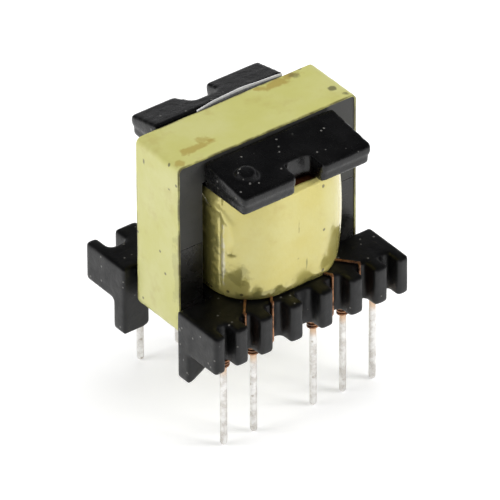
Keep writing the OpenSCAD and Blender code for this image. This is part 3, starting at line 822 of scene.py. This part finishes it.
# %% Dress the exact pieces
FINISHES = {
    "coil_former": moulding,
    "core_lower": wet_ferrite,
    "core_upper": bare_ferrite,
    "primary_winding": winding_copper,
    "auxiliary_winding": winding_copper,
    "secondary_winding": winding_copper,
    "primary_tape": core_tape_finish,
    "auxiliary_tape": core_tape_finish,
}
dressed = 0
for name, piece in nodes.items():
    finish = tinned if name.startswith("pin_") else FINISHES.get(name)
    if finish is not None:
        piece.data.materials.clear()
        piece.data.materials.append(finish)
        dressed += 1
print("exact pieces dressed:", dressed)

# %% [markdown]
# ## Stage, light and camera
#
# The transformer stands on its pin tips on a pale floor. Soft lights come from the left, the right
# and above. They could be seen in the glossy black as white squares, so they are hidden from
# reflections, and a plain sky takes their place there: pale at the horizon and darker overhead,
# so that black plastic stays black. The floor glows for the camera and in reflections, which
# keeps it white, and its own shading keeps the shadow.

# %% Floor
FLOOR_HALF = 0.6
FLOOR_GLOW = 0.46
mesh = bpy.data.meshes.new("floor")
signs = [(-1, -1), (1, -1), (1, 1), (-1, 1)]
corners = [(x * FLOOR_HALF, y * FLOOR_HALF, FLOOR_Z) for x, y in signs]
mesh.from_pydata(corners, [], [(0, 1, 2, 3)])
floor = bpy.data.objects.new("floor", mesh)
bpy.context.scene.collection.objects.link(floor)
paper = bpy.data.materials.new("Pale paper")
paper.use_nodes = True
tree = paper.node_tree
shader = tree.nodes["Principled BSDF"]
shader.inputs["Base Color"].default_value = rgb(0.80, 0.80, 0.80)
shader.inputs["Roughness"].default_value = 0.9
shader.inputs["Specular IOR Level"].default_value = 0.0
rays = add(tree, "LightPath").outputs
seen = calc(tree, "MAXIMUM", rays["Is Camera Ray"], rays["Is Glossy Ray"])
strength = calc(tree, "MULTIPLY", seen, FLOOR_GLOW)
glow = add(tree, "Emission", {"Color": rgb(1.0, 1.0, 1.0), "Strength": strength})
both = add(tree, "AddShader", {0: shader.outputs[0], 1: glow.outputs[0]})
tree.links.new(both.outputs[0], tree.nodes["Material Output"].inputs["Surface"])
mesh.materials.append(paper)
print("floor at mm:", round(FLOOR_Z / MM, 2))

# %% World
SKY_LIGHT = rgb(0.22, 0.22, 0.22)
HORIZON, OVERHEAD = rgb(0.50, 0.50, 0.51), rgb(0.07, 0.07, 0.072)
world = bpy.data.worlds.new("Studio")
bpy.context.scene.world = world
world.use_nodes = True
tree = world.node_tree
background = tree.nodes["Background"]
way = add(tree, "TexCoord").outputs["Generated"]
rise = add(tree, "SeparateXYZ", {0: way}).outputs["Z"]
rays = add(tree, "LightPath").outputs
overhead = ramp(tree, rise, 0.05, 0.5)
mirror = blend(tree, overhead, HORIZON, OVERHEAD)
plain = blend(tree, rays["Is Glossy Ray"], SKY_LIGHT, mirror)
direct = calc(tree, "MAXIMUM", rays["Is Camera Ray"], rays["Is Transmission Ray"])
colour = blend(tree, direct, plain, rgb(1.0, 1.0, 1.0))
tree.links.new(colour, background.inputs["Color"])
print(world.name, "nodes:", len(tree.nodes))

# %% Lamps
LAMP_DISTANCE = 0.16


def softbox(name, azimuth, elevation, size, power):
    """A square soft light that points at the object and is hidden from reflections."""
    lamp = bpy.data.lights.new(name, "AREA")
    lamp.energy = power
    lamp.size = size
    made = bpy.data.objects.new(name, lamp)
    made.visible_glossy = False
    a, e = math.radians(azimuth), math.radians(elevation)
    back = Vector((math.sin(a) * math.cos(e), -math.cos(a) * math.cos(e), math.sin(e)))
    middle = (cad_low + cad_high) / 2
    made.location = middle + back * LAMP_DISTANCE
    made.rotation_euler = (-back).to_track_quat("-Z", "Y").to_euler()
    bpy.context.scene.collection.objects.link(made)


softbox("left softbox", -112, 25, 0.10, 0.15)
softbox("right softbox", 42, 28, 0.07, 0.15)
softbox("top softbox", 120, 75, 0.10, 0.11)
print("lamps:", len(bpy.data.lights))

# %% Camera
AZIMUTH, ELEVATION, ROLL = math.radians(-37.0), math.radians(34.82), math.radians(-0.27)
REFERENCE = Vector((MIDDLE_X, MIDDLE_Y, 0.01033))
SCALE = 0.0164
DISTANCE = 46.96 * SCALE
SHIFT_RIGHT, SHIFT_UP = -0.0148 * SCALE, 0.2307 * SCALE
LENS = 10440 / 500 * 36
back = Vector((
    math.sin(AZIMUTH) * math.cos(ELEVATION),
    -math.cos(AZIMUTH) * math.cos(ELEVATION),
    math.sin(ELEVATION),
))
level = Vector((math.cos(AZIMUTH), math.sin(AZIMUTH), 0.0))
upright = back.cross(level)
right = math.cos(ROLL) * level + math.sin(ROLL) * upright
up = -math.sin(ROLL) * level + math.cos(ROLL) * upright
camera_data = bpy.data.cameras.new("camera")
camera_data.lens = LENS
camera_data.sensor_width = 36
camera_data.clip_start, camera_data.clip_end = 0.01, 5.0
camera = bpy.data.objects.new("camera", camera_data)
place_at = REFERENCE + back * DISTANCE - right * SHIFT_RIGHT - up * SHIFT_UP
facing = Matrix((right, up, back)).transposed().to_4x4()
camera.matrix_world = Matrix.Translation(place_at) @ facing
bpy.context.scene.collection.objects.link(camera)
bpy.context.scene.camera = camera
bpy.context.scene.view_settings.view_transform = "Standard"
print("camera lens in mm:", round(LENS, 1))
